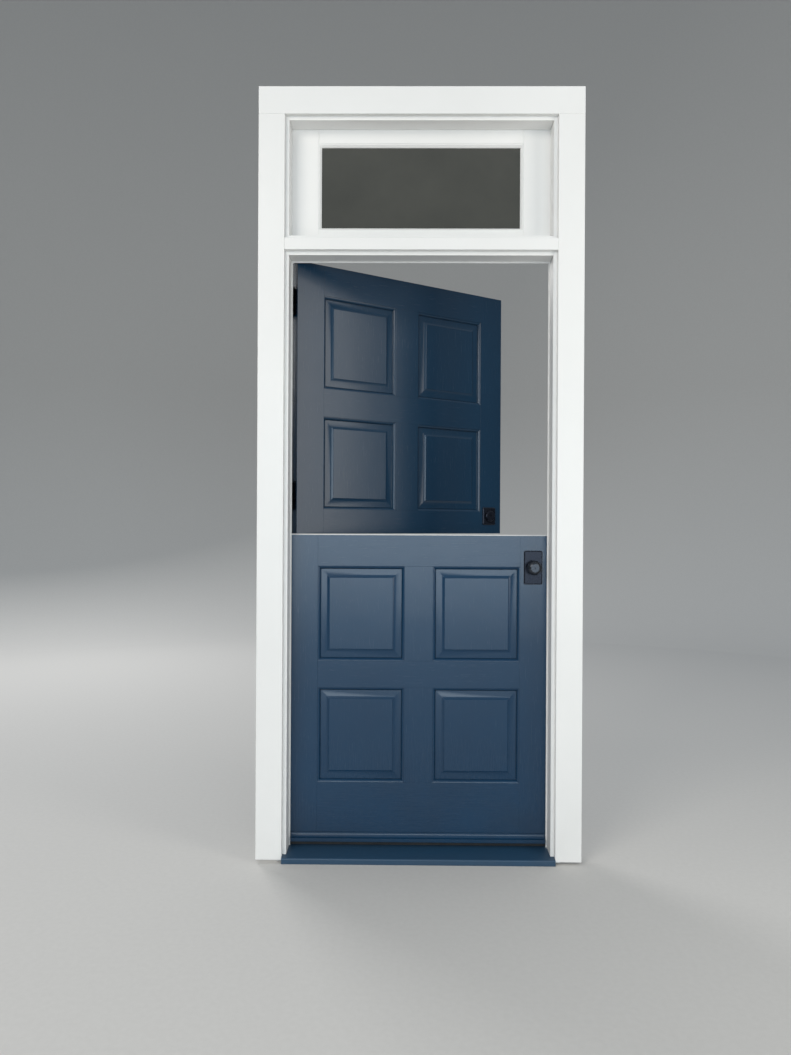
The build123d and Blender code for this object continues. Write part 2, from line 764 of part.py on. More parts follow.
def lock_plate(side, z, height, hole_radius=0):
    """A rectangular plate with bevelled edges and, if wanted, a round hole for what turns in it."""
    face = face_plane(side, z)
    with BuildPart() as plate:
        with BuildSketch(face):
            RectangleRounded(plate_width, height, plate_corner)
        extrude(amount=plate_thickness)
        front = plate.faces().filter_by(Axis.Y).sort_by(Axis.Y)[0 if side < 0 else -1]
        chamfer(front.edges(), plate_bevel)
        if hole_radius:
            with Locations(face.offset(plate_thickness)):
                Hole(hole_radius)
    return plate.part


for side, name in ((-1, "knob_plate_outside"), (1, "knob_plate_inside")):
    lower_members[name] = lock_plate(side, knob_z, knob_plate_height,
                                     knob_neck_radius + running_clearance)


def knob_body(side):
    """A flared knob on a round neck, turned about the spindle's axis."""
    y = leaf_front if side < 0 else leaf_back
    axial = Plane((lock_x, y, knob_z), x_dir=(1, 0, 0), z_dir=(0, 0, side))
    rim = knob_length - knob_face_step
    with BuildPart() as knob:
        with BuildSketch(axial):
            with BuildLine():
                Polyline((knob_face_radius, rim), (knob_boss_radius, rim), (knob_boss_radius, knob_length),
                         (0, knob_length), (0, plate_seat), (knob_neck_radius, plate_seat),
                         (knob_neck_radius, knob_neck_end))
                Spline((knob_neck_radius, knob_neck_end), (knob_radius, knob_widest),
                       tangents=[(0, 1), (0, 1)])
                TangentArc((knob_radius, knob_widest), (knob_face_radius, rim), tangent=(0, 1))
            make_face()
        revolve(axis=Axis((lock_x, y, knob_z), (0, 1, 0)))
    return knob.part


knob_face = face_plane(-1, knob_z).offset(knob_length)
spindle_end = leaf_thickness + plate_seat + socket_depth
with BuildPart() as knob_outside:
    add(knob_body(-1))
    with Locations(face_plane(-1, knob_z).offset(-spindle_end)):
        Cylinder(spindle_radius, spindle_end + 2 * plate_seat,
                 align=(Align.CENTER, Align.CENTER, Align.MIN))
    with BuildSketch(knob_face):
        Circle(key_plug_radius + key_plug_groove)
        Circle(key_plug_radius, mode=Mode.SUBTRACT)
    extrude(amount=-key_plug_groove, mode=Mode.SUBTRACT)
    with Locations(knob_face):
        Box(keyway_width, keyway_height, 2 * keyway_depth, mode=Mode.SUBTRACT)

inner_face = face_plane(1, knob_z)
with BuildPart() as knob_inside:
    add(knob_body(1))
    with Locations(inner_face.offset(plate_seat)):
        Cylinder(spindle_radius + running_clearance, socket_depth + plate_seat,
                 align=(Align.CENTER, Align.CENTER, Align.MIN), mode=Mode.SUBTRACT)
    with Locations(inner_face.offset(knob_length)):
        Hole(button_radius + running_clearance, depth=button_depth)

with BuildPart() as turn_button:
    with Locations(inner_face.offset(knob_length - button_depth)):
        Cylinder(button_radius, button_depth, align=(Align.CENTER, Align.CENTER, Align.MIN))
    with Locations(inner_face.offset(knob_length)):
        Box(button_wing_width, button_wing_height, button_wing_length,
            align=(Align.CENTER, Align.CENTER, Align.MIN))
lower_members["knob_outside"] = knob_outside.part
lower_members["knob_inside"] = knob_inside.part
lower_members["turn_button"] = turn_button.part

deadbolt_outer = face_plane(-1, deadbolt_z).offset(plate_thickness)
with BuildPart() as deadbolt_plate_outside:
    add(lock_plate(-1, deadbolt_z, deadbolt_plate_height))
    with BuildSketch(deadbolt_outer):
        Circle(cylinder_radius)
    extrude(amount=cylinder_height)
    rim = deadbolt_plate_outside.faces().sort_by(Axis.Y)[0].edges()
    chamfer(rim, cylinder_bevel)
    with BuildSketch(deadbolt_outer.offset(cylinder_height)):
        Circle(key_plug_radius + key_plug_groove)
        Circle(key_plug_radius, mode=Mode.SUBTRACT)
    extrude(amount=-key_plug_groove, mode=Mode.SUBTRACT)
    with Locations(deadbolt_outer.offset(cylinder_height)):
        Box(keyway_width, keyway_height, 2 * keyway_depth, mode=Mode.SUBTRACT)
upper_members["deadbolt_plate_outside"] = deadbolt_plate_outside.part
upper_members["deadbolt_plate_inside"] = lock_plate(1, deadbolt_z, deadbolt_plate_height,
                                                    spindle_radius + running_clearance)

deadbolt_inner = face_plane(1, deadbolt_z).offset(plate_thickness)
tailpiece_length = plate_thickness + leaf_thickness - plate_seat
with BuildPart() as deadbolt_turn:
    with Locations(deadbolt_inner.offset(slide_clearance)):
        Cylinder(turn_rose_radius, turn_rose_height, align=(Align.CENTER, Align.CENTER, Align.MIN))
    with Locations(deadbolt_inner.offset(slide_clearance + turn_rose_height)):
        Box(turn_wing_width, turn_wing_height, turn_wing_length,
            align=(Align.CENTER, Align.CENTER, Align.MIN))
    fillet(deadbolt_turn.edges().filter_by(Axis.Y).group_by(SortBy.LENGTH)[-1], turn_wing_width / 3)
    with Locations(deadbolt_inner.offset(slide_clearance)):
        Cylinder(spindle_radius, tailpiece_length, align=(Align.CENTER, Align.CENTER, Align.MAX))
upper_members["deadbolt_turn"] = deadbolt_turn.part


# Surface bolt inside: body on the upper leaf, keeper on the lower leaf

bolt_x = half_leaf - bolt_from_edge
bolt_bottom = upper_bottom + bolt_above_edge
bolt_rod_y = leaf_back + bolt_rod_offset
with BuildPart() as surface_bolt_body:
    with Locations((bolt_x, leaf_back, bolt_bottom)):
        Box(bolt_plate_width, bolt_plate_thickness, bolt_plate_height,
            align=(Align.CENTER, Align.MIN, Align.MIN))
    for guide_z in (bolt_bottom, bolt_bottom + bolt_plate_height - bolt_guide_height):
        with Locations((bolt_x, leaf_back, guide_z)):
            Box(bolt_guide_width, bolt_guide_depth, bolt_guide_height,
                align=(Align.CENTER, Align.MIN, Align.MIN))
    with Locations((bolt_x, bolt_rod_y, bolt_bottom)):
        Cylinder(bolt_rod_radius + running_clearance, 3 * bolt_plate_height, mode=Mode.SUBTRACT)
upper_members["surface_bolt_body"] = surface_bolt_body.part

with BuildPart() as surface_bolt_rod:
    with Locations((bolt_x, bolt_rod_y, bolt_bottom)):
        Cylinder(bolt_rod_radius, bolt_plate_height + bolt_rod_tail,
                 align=(Align.CENTER, Align.CENTER, Align.MIN))
    handle_z = bolt_bottom + bolt_plate_height - bolt_handle_from_top
    with Locations(Plane((bolt_x, bolt_rod_y, handle_z), x_dir=(1, 0, 0), z_dir=(0, 1, 0))):
        Cylinder(bolt_handle_radius, bolt_handle_length,
                 align=(Align.CENTER, Align.CENTER, Align.MIN))
upper_members["surface_bolt_rod"] = surface_bolt_rod.part

with BuildPart() as bolt_keeper:
    keeper_top = lower_top - bolt_above_edge
    with Locations((bolt_x, leaf_back, keeper_top)):
        Box(bolt_plate_width, bolt_guide_depth, keeper_height,
            align=(Align.CENTER, Align.MIN, Align.MAX))
    with Locations((bolt_x, bolt_rod_y, keeper_top)):
        Cylinder(bolt_rod_radius + keeper_hole_clearance, 3 * keeper_height, mode=Mode.SUBTRACT)
lower_members["bolt_keeper"] = bolt_keeper.part


# The lower leaf is shut and the upper leaf stands ajar

pieces.update(lower_members)
for name, piece in upper_members.items():
    pieces[name] = piece.rotate(hinge_axis, upper_rest_angle)

os.makedirs("parts", exist_ok=True)
for name, piece in pieces.items():
    piece.label = name
    export_step(piece, f"parts/{name}.step")
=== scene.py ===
import json
import math

import bmesh
import bpy
from mathutils import Matrix, Vector

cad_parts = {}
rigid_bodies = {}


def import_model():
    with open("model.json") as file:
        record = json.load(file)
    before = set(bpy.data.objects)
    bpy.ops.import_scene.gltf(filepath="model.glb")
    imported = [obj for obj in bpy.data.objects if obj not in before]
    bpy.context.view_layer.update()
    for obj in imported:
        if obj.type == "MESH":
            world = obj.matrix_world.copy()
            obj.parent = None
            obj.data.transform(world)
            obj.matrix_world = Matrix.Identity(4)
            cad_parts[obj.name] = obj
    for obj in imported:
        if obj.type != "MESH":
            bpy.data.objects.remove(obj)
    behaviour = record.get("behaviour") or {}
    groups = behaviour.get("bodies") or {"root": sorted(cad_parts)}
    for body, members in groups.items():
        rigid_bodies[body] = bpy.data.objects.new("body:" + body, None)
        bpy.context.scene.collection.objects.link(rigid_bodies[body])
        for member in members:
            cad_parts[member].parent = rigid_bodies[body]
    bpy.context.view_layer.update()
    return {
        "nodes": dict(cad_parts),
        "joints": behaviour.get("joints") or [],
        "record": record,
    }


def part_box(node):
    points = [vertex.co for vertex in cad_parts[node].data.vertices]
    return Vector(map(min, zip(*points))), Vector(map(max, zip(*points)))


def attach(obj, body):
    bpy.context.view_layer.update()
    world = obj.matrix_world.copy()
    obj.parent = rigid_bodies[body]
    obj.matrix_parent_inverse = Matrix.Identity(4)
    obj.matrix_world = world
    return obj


for leftover in list(bpy.data.objects):
    bpy.data.objects.remove(leftover)
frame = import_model()
nodes = frame["nodes"]
scene = bpy.context.scene

# The leaves: how far the upper one stands open, and the axis that both turn about
joints = {joint["name"]: joint for joint in frame["joints"]}
rest_angle = -math.radians(joints["upper_leaf_hinge"]["range_deg"][0])
hinge_axis = Vector(joints["upper_leaf_hinge"]["pos_m"])
ajar = (Matrix.Translation(hinge_axis) @ Matrix.Rotation(rest_angle, 4, "Z")
        @ Matrix.Translation(-hinge_axis))


# Camera and light

photo_height = 1055
focal_pixels = 804.4
camera_place = (-0.0561, -2.7336, 1.1412)
camera_yaw, camera_pitch, camera_roll = math.radians(0.54), math.radians(-0.105), math.radians(0.29)

camera_data = bpy.data.cameras.new("camera")
camera = bpy.data.objects.new("camera", camera_data)
scene.collection.objects.link(camera)
scene.camera = camera
camera_data.lens = camera_data.sensor_width * focal_pixels / photo_height
camera.matrix_world = (
    Matrix.Translation(camera_place)
    @ Matrix.Rotation(camera_yaw, 4, "Z")
    @ Matrix.Rotation(math.radians(90) + camera_pitch, 4, "X")
    @ Matrix.Rotation(camera_roll, 4, "Z")
)
scene.view_settings.view_transform = "Standard"


def soft_room(colour, level_strength, high_strength, high):
    """Pale light from all round, weaker from the horizon and below than from above."""
    world = bpy.data.worlds.new("soft_room")
    scene.world = world
    world.use_nodes = True
    tree = world.node_tree
    background = tree.nodes["Background"]
    background.inputs["Color"].default_value = (*colour, 1)
    direction = tree.nodes.new("ShaderNodeTexCoord")
    split = tree.nodes.new("ShaderNodeSeparateXYZ")
    strength = tree.nodes.new("ShaderNodeMapRange")
    strength.inputs["From Min"].default_value = 0.0
    strength.inputs["From Max"].default_value = high
    strength.inputs["To Min"].default_value = level_strength
    strength.inputs["To Max"].default_value = high_strength
    tree.links.new(direction.outputs["Generated"], split.inputs[0])
    tree.links.new(split.outputs["Z"], strength.inputs["Value"])
    tree.links.new(strength.outputs[0], background.inputs["Strength"])


def softbox(name, place, target, size, power, colour):
    """A rectangular lamp that lights and reflects, but isn't seen itself."""
    lamp = bpy.data.lights.new(name, "AREA")
    lamp.shape = "RECTANGLE"
    lamp.size, lamp.size_y = size
    lamp.energy = power
    lamp.color = colour
    holder = bpy.data.objects.new(name, lamp)
    scene.collection.objects.link(holder)
    holder.location = place
    holder.rotation_euler = (Vector(target) - Vector(place)).to_track_quat("-Z", "Y").to_euler()
    holder.visible_camera = False


soft_room((0.86, 0.93, 1.0), level_strength=0.12, high_strength=0.50, high=0.8)
softbox("key", place=(-2.9, -4.6, 3.6), target=(0, 0, 0.6),
        size=(2.6, 2.2), power=125, colour=(1.0, 0.955, 0.89))
softbox("front", place=(0.0, -9.6, 1.5), target=(0, 0, 1.3),
        size=(7.7, 3.0), power=315, colour=(0.82, 0.93, 1.0))
softbox("side", place=(2.15, -1.6, 1.85), target=(-0.42, 0.12, 1.65),
        size=(1.0, 2.4), power=24, colour=(1.0, 0.965, 0.90))
softbox("rear", place=(-3.6, 4.6, 3.8), target=(0, 0.2, 1.2),
        size=(2.4, 2.6), power=150, colour=(1.0, 0.99, 0.98))


# Materials

class Graph:
    """A material and the few kinds of node that it is made from."""

    def __init__(self, name, **sockets):
        self.material = bpy.data.materials.new(name)
        self.material.use_nodes = True
        self.tree = self.material.node_tree
        self.shader = self.tree.nodes["Principled BSDF"]
        for socket, value in sockets.items():
            self.shader.inputs[socket.replace("_", " ")].default_value = value

    def put(self, socket, value):
        """Links a socket to another node's output, or sets it to a plain value."""
        if isinstance(value, bpy.types.NodeSocket):
            self.tree.links.new(value, socket)
        else:
            socket.default_value = value

    def node(self, kind, inputs, **settings):
        made = self.tree.nodes.new("ShaderNode" + kind)
        for key, value in settings.items():
            setattr(made, key, value)
        for key, value in inputs.items():
            self.put(made.inputs[key], value)
        return made

    def place(self, angle=0.0, scale=(1, 1, 1)):
        """The point on the piece in the closed door's directions, scaled."""
        point = self.node("TexCoord", {}).outputs["Object"]
        turned = self.node("Mapping", {"Vector": point, "Rotation": (0, 0, -angle)})
        return self.node("Mapping", {"Vector": turned.outputs[0], "Scale": scale}).outputs[0]

    def noise(self, vector, scale, detail=2.0, roughness=0.5, distortion=0.0):
        inputs = {"Vector": vector, "Scale": scale, "Detail": detail,
                  "Roughness": roughness, "Distortion": distortion}
        return self.node("TexNoise", inputs).outputs["Fac"]

    def remap(self, value, low, high, to_low=0.0, to_high=1.0):
        inputs = {"Value": value, "From Min": low, "From Max": high, "To Min": to_low, "To Max": to_high}
        return self.node("MapRange", inputs).outputs[0]

    def times(self, first, second):
        return self.node("Math", {0: first, 1: second}, operation="MULTIPLY").outputs[0]

    def plus(self, first, second):
        return self.node("Math", {0: first, 1: second}, operation="ADD").outputs[0]

    def blend(self, share, first, second):
        """The first colour, with a share of the second over it."""
        made = self.node("Mix", {}, data_type="RGBA")
        self.put(made.inputs["Factor"], share)
        for socket, colour in ((made.inputs[6], first), (made.inputs[7], second)):
            self.put(socket, colour if isinstance(colour, bpy.types.NodeSocket) else (*colour, 1))
        return made.outputs[2]

    def bump(self, height, distance, normal=None):
        made = self.node("Bump", {"Height": height, "Distance": distance, "Strength": 1.0})
        if normal is not None:
            self.put(made.inputs["Normal"], normal)
        return made.outputs[0]

    def edges(self, radius):
        """Near 1 along sharp edges, 0 on the flat."""
        rounded = self.node("Bevel", {"Radius": radius}, samples=4).outputs[0]
        normal = self.node("NewGeometry", {}).outputs["Normal"]
        dot = self.node("VectorMath", {0: rounded, 1: normal}, operation="DOT_PRODUCT").outputs["Value"]
        return self.remap(dot, 0.99, 0.8)

    def crevices(self, distance):
        """Near 1 in grooves and inside corners, 0 in the open."""
        open_share = self.node("AmbientOcclusion", {"Distance": distance}, samples=6).outputs["AO"]
        return self.remap(open_share, 0.75, 0.25)

    def finish(self, colour, roughness, normal=None, metallic=0.0):
        self.put(self.shader.inputs["Base Color"], colour)
        self.put(self.shader.inputs["Roughness"], roughness)
        self.put(self.shader.inputs["Metallic"], metallic)
        if normal is not None:
            self.put(self.shader.inputs["Normal"], normal)
        return self.material


def painted_wood(name, colour, shade, primer, low_tint, low_share, groove_shade_share, roughness, along_x, angle=0.0):
    """Satin paint brushed along the grain: faint strokes, a little wear on edges, painted shade in
    grooves, and a tint low down that is painted shade on the navy and dust on the white and the sill.
    """
    stroke_lengthwise, stroke_across = 1.2, 60.0
    grain_lengthwise, grain_across = 0.7, 22.0
    low_dust_and_shade_top, low_dust_and_shade_full, low_dust_and_shade_roughness = 0.42, 0.04, 0.18
    groove_reach, groove_shade = 0.008, 0.45
    edge_radius, worn_share, grain_share = 0.0012, 0.35, 0.10
    sag_depth, grain_depth, stroke_depth, peel_depth = 0.0006, 0.00008, 0.00002, 0.00002

    graph = Graph(name, Specular_IOR_Level=0.5)

    def brushed(lengthwise, across):
        scale = (lengthwise, across, across) if along_x else (across, across, lengthwise)
        return graph.place(angle, scale)

    plain = graph.place(angle)
    strokes = graph.noise(brushed(stroke_lengthwise, stroke_across), 12.0, 3.0, 0.6)
    grain = graph.noise(brushed(grain_lengthwise, grain_across), 3.0, 5.0, 0.55, 0.6)
    sags = graph.noise(plain, 7.0, 2.0, 0.5)
    peel = graph.noise(plain, 420.0, 1.0)
    clouds = graph.noise(plain, 1.7, 4.0, 0.6)
    chips = graph.noise(plain, 38.0, 4.0, 0.7)

    tint = graph.blend(graph.remap(clouds, 0.3, 0.7), colour, shade)
    tint = graph.blend(graph.remap(grain, 0.35, 0.75, 0.0, grain_share), tint, shade)
    height = graph.node("SeparateXYZ", {0: plain}).outputs["Z"]
    # Low down the tint changes: on the navy leaves it darkens as painted shade, on the white frame and
    # the sill it greys as dust
    low_dust_and_shade = graph.times(graph.remap(height, low_dust_and_shade_top, low_dust_and_shade_full), graph.remap(clouds, 0.35, 0.65))
    tint = graph.blend(graph.times(low_dust_and_shade, low_share), tint, low_tint)
    # Painted shade: the paint is darkened in grooves and inside corners, by the groove share
    painted_groove_shade = graph.times(graph.crevices(groove_reach), groove_shade_share)
    tint = graph.blend(painted_groove_shade, tint, [channel * groove_shade for channel in shade])
    worn = graph.times(graph.edges(edge_radius), graph.remap(chips, 0.52, 0.66))
    tint = graph.blend(graph.times(worn, worn_share), tint, primer)

    rough = graph.remap(strokes, 0.3, 0.7, roughness - 0.03, roughness + 0.04)
    rough = graph.plus(rough, graph.times(low_dust_and_shade, low_dust_and_shade_roughness))
    normal = graph.bump(sags, sag_depth)
    normal = graph.bump(grain, grain_depth, normal)
    normal = graph.bump(strokes, stroke_depth, normal)
    normal = graph.bump(peel, peel_depth, normal)
    return graph.finish(tint, rough, normal)


leaf_roughness, frame_roughness = 0.24, 0.36
# The lower leaf's low tint is painted shade that darkens its bottom
lower_navy = dict(
    colour=(0.0038, 0.0365, 0.087), shade=(0.0029, 0.030, 0.073), primer=(0.08, 0.12, 0.17),
    low_tint=(0.002, 0.018, 0.045), low_share=0.8, groove_shade_share=0.55, roughness=leaf_roughness,
)
# The upper leaf's navy is a darker copy of the lower leaf's: painted shade. Its low tint is painted shade
# too
upper_navy_shaded = dict(
    colour=(0.0031, 0.030, 0.067), shade=(0.0024, 0.0245, 0.056), primer=(0.07, 0.11, 0.15),
    low_tint=(0.002, 0.018, 0.045), low_share=0.5, groove_shade_share=0.55, roughness=leaf_roughness,
)
# The sill's navy is lighter and greyer than the leaves': partly dust on the tread, partly painted light
# on its upward face
sill_navy_dusty_and_lit = dict(
    colour=(0.0170, 0.062, 0.122), shade=(0.0130, 0.050, 0.100), primer=(0.08, 0.12, 0.17),
    low_tint=(0.032, 0.060, 0.100), low_share=0.4, groove_shade_share=0.35, roughness=frame_roughness,
)
# On the white frame the low tint is dust
white = dict(
    colour=(0.84, 0.835, 0.82), shade=(0.80, 0.795, 0.78), primer=(0.62, 0.60, 0.56),
    low_tint=(0.40, 0.38, 0.35), low_share=0.10, groove_shade_share=0.12, roughness=frame_roughness,
)
lower_up = painted_wood("lower_paint_upright", **lower_navy, along_x=False)
lower_across = painted_wood("lower_paint_across", **lower_navy, along_x=True)
upper_up = painted_wood("upper_shaded_paint_upright", **upper_navy_shaded, along_x=False, angle=rest_angle)
upper_across = painted_wood("upper_shaded_paint_across", **upper_navy_shaded, along_x=True, angle=rest_angle)
sill_paint_dusty_and_lit = painted_wood("sill_paint_dusty_and_lit", **sill_navy_dusty_and_lit, along_x=True)
frame_up = painted_wood("frame_paint_upright", **white, along_x=False)
frame_across = painted_wood("frame_paint_across", **white, along_x=True)


def metal(name, colour, edge_colour, roughness, metallic, scratch_depth):
    """Worn metal: uneven patina, fine scratches, edges rubbed brighter, grooves darkened with painted
    shade.
    """
    edge_radius, rubbed_share, rubbed_gain = 0.0010, 0.7, 1.8
    groove_reach, groove_shade = 0.003, 0.3
    patina_share, patina_depth = 0.6, 0.00008
    scratch_direction = (1.0, 1.0, 9.0)

    graph = Graph(name, Specular_IOR_Level=0.3)
    plain = graph.place()
    patina = graph.noise(plain, 45.0, 4.0, 0.6)
    scratches = graph.noise(graph.place(scale=scratch_direction), 300.0, 2.0)
    tint = graph.blend(graph.remap(patina, 0.35, 0.7, 0.0, patina_share), colour, edge_colour)
    rubbed = graph.times(graph.edges(edge_radius), graph.remap(patina, 0.3, 0.6, 0.3, 1.0))
    bright = [rubbed_gain * channel for channel in edge_colour]
    tint = graph.blend(graph.times(rubbed, rubbed_share), tint, bright)
    # Painted shade: grooves and recesses are darkened
    tint = graph.blend(graph.crevices(groove_reach), tint, [groove_shade * channel for channel in colour])
    rough = graph.remap(patina, 0.3, 0.7, roughness - 0.06, roughness + 0.08)
    normal = graph.bump(scratches, scratch_depth)
    normal = graph.bump(patina, patina_depth, normal)
    return graph.finish(tint, rough, normal, metallic)


dark_bronze = metal("bronze_dark", colour=(0.009, 0.012, 0.021), edge_colour=(0.028, 0.032, 0.044),
                    roughness=0.27, metallic=0.6, scratch_depth=0.00001)
# The outside knob's bronze is a brighter copy of the plates': partly worn by hands, partly a painted
# highlight of light on its dome
handled_bronze_highlit = metal("bronze_handled_highlit", colour=(0.034, 0.040, 0.050), edge_colour=(0.062, 0.068, 0.080),
                       roughness=0.25, metallic=0.7, scratch_depth=0.00001)
lock_steel = metal("steel_lock", colour=(0.42, 0.41, 0.40), edge_colour=(0.55, 0.54, 0.52),
                   roughness=0.33, metallic=1.0, scratch_depth=0.00002)


def rubber(name, colour, dust, roughness):
    """Extruded rubber: fine grain, run lines along its length, dust in patches."""
    dust_share, pore_depth, run_depth = 0.5, 0.00003, 0.00008
    run_direction = (1.0, 260.0, 1.0)

    graph = Graph(name, Specular_IOR_Level=0.35)
    plain = graph.place()
    patches = graph.noise(plain, 16.0, 4.0, 0.6)
    pores = graph.noise(plain, 700.0, 2.0)
    runs = graph.noise(graph.place(scale=run_direction), 2.0, 2.0)
    tint = graph.blend(graph.remap(patches, 0.4, 0.75, 0.0, dust_share), colour, dust)
    rough = graph.remap(patches, 0.3, 0.7, roughness - 0.05, roughness + 0.08)
    normal = graph.bump(pores, pore_depth)
    normal = graph.bump(runs, run_depth, normal)
    return graph.finish(tint, rough, normal)


pale_rubber = rubber("rubber_pale", (0.78, 0.78, 0.77), (0.62, 0.61, 0.58), roughness=0.62)
black_rubber = rubber("rubber_black", (0.018, 0.018, 0.019), (0.055, 0.053, 0.050), roughness=0.58)


def glass(name, colour, film_colour, dust):
    """A dark, opaque pane whose darkness is painted shade: a faint ripple, a thin uneven film and a
    little dust in the corners.
    """
    corner_reach, dust_share, ripple_depth = 0.03, 0.35, 0.0006
    clean_roughness, film_roughness = 0.03, 0.08

    graph = Graph(name, IOR=1.52, Coat_Weight=1.0, Coat_Roughness=0.01)
    plain = graph.place()
    film = graph.noise(plain, 3.0, 4.0, 0.6)
    ripple = graph.noise(plain, 2.2, 1.0)
    corners = graph.times(graph.crevices(corner_reach), graph.remap(film, 0.3, 0.7, 0.3, 1.0))
    tint = graph.blend(graph.remap(film, 0.3, 0.7), colour, film_colour)
    tint = graph.blend(graph.times(corners, dust_share), tint, dust)
    rough = graph.remap(film, 0.3, 0.7, clean_roughness, film_roughness)
    return graph.finish(tint, rough, graph.bump(ripple, ripple_depth))


# Painted shade: the pane is dark and opaque, as if a dim room lay behind it
dark_glass = glass("glass_painted_shade", colour=(0.046, 0.047, 0.040), film_colour=(0.066, 0.066, 0.056),
                   dust=(0.22, 0.21, 0.19))


def plaster(name, colour, speck_colour):
    """Pale matt plaster with fine specks."""
    graph = Graph(name, Specular_IOR_Level=0.2)
    specks = graph.noise(graph.place(), 60.0, 3.0)
    tint = graph.blend(graph.remap(specks, 0.3, 0.7), colour, speck_colour)
    return graph.finish(tint, roughness=0.75)


pale_plaster = plaster("plaster_pale", (0.60, 0.59, 0.57), (0.62, 0.61, 0.59))


# The pieces of the door: a material for each, and eased edges on the timber

lying_boards = ("_rail", "head_jamb", "casing_head", "transom_bar", "casing_transom", "drip_moulding")
unpainted = {"dark_bronze": dark_bronze, "lock_steel": lock_steel, "pale_rubber": pale_rubber,
             "black_rubber": black_rubber, "dark_glass": dark_glass}


def material_of(name, slot):
    """The material of one piece. Paint is brushed along the board."""
    lies_across = name.endswith(lying_boards)
    if name == "sill":
        return sill_paint_dusty_and_lit
    if name == "knob_outside":
        return handled_bronze_highlit
    if slot == "frame_paint":
        return frame_across if lies_across else frame_up
    if slot == "leaf_paint" and name.startswith("upper_"):
        return upper_across if lies_across else upper_up
    if slot == "leaf_paint":
        return lower_across if lies_across else lower_up
    return unpainted[slot]


def clean_shell():
    """A node tree that welds a mesh along its edges and shades it smooth."""
    weld_distance = 0.00001
    tree = bpy.data.node_groups.new("clean_shell", "GeometryNodeTree")
    tree.interface.new_socket("Geometry", in_out="INPUT", socket_type="NodeSocketGeometry")
    tree.interface.new_socket("Geometry", in_out="OUTPUT", socket_type="NodeSocketGeometry")
    source = tree.nodes.new("NodeGroupInput")
    drop = tree.nodes.new("GeometryNodeRemoveAttribute")
    drop.inputs["Name"].default_value = "custom_normal"
    weld = tree.nodes.new("GeometryNodeMergeByDistance")
    weld.inputs["Distance"].default_value = weld_distance
    smooth = tree.nodes.new("GeometryNodeSetShadeSmooth")
    result = tree.nodes.new("NodeGroupOutput")
    chain = (source, drop, weld, smooth, result)
    for before, after in zip(chain, chain[1:]):
        tree.links.new(before.outputs[0], after.inputs[0])
    return tree


shell = clean_shell()
flat_angle, sharp_angle = math.radians(0.4), math.radians(32)


def ease_edges(piece, width):
    """Rounds every sharp edge of a piece of timber by a hair, as sanding and paint leave it."""
    clean = piece.modifiers.new("clean", "NODES")
    clean.node_group = shell
    flatten = piece.modifiers.new("flatten", "DECIMATE")
    flatten.decimate_type = "DISSOLVE"
    flatten.angle_limit = flat_angle
    bevel = piece.modifiers.new("ease", "BEVEL")
    bevel.width = width
    bevel.segments = 2
    bevel.limit_method = "ANGLE"
    bevel.angle_limit = sharp_angle
    normals = piece.modifiers.new("normals", "WEIGHTED_NORMAL")
    normals.keep_sharp = True
    normals.weight = 60


frame_timber = ("casing_", "sash_", "head_jamb", "transom_bar", "sill", "hinge_jamb", "strike_jamb")
leaf_timber = ("lower_", "upper_", "drip_")
frame_ease, leaf_ease = 0.0009, 0.0007

for name, piece in nodes.items():
    slot = piece.data.materials[0].name.split(".")[0]
    for index in range(len(piece.data.materials)):
        piece.data.materials[index] = material_of(name, slot)
    if name.startswith(frame_timber):
        ease_edges(piece, frame_ease)
    elif name.startswith(leaf_timber) and not name.endswith("_hinge_leaves"):
        ease_edges(piece, leaf_ease)


# Screws: every plate's own, with a crossed recess

# The radii of the heads, how high they rise in the middle, and how each is turned from the one before
hinge_screw, plate_screw, small_screw = 0.0042, 0.0034, 0.0024
plate_crown, small_crown = 0.00055, 0.0004
first_turn, next_turn = math.radians(23), math.radians(67)

# The recess, in shares of the head's radius, and the angles that draw a head with its corners
recess_half_width, recess_reach = 0.14, 0.56
recess_corner = math.atan2(recess_half_width, recess_reach)
arm_side = (recess_corner + math.pi / 4) / 2
quarter = (0.0, recess_corner, arm_side, math.pi / 4, math.pi / 2 - arm_side, math.pi / 2 - recess_corner)
head_angles = [step + turns * math.pi / 2 for turns in range(4) for step in quarter]


def cross_reach(angle):
    """How far the crossed recess reaches from the middle, as a share of the head's radius."""
    tiny = 1e-9
    along, beside = abs(math.cos(angle)) + tiny, abs(math.sin(angle)) + tiny
    return max(min(recess_reach / along, recess_half_width / beside),
               min(recess_half_width / along, recess_reach / beside))


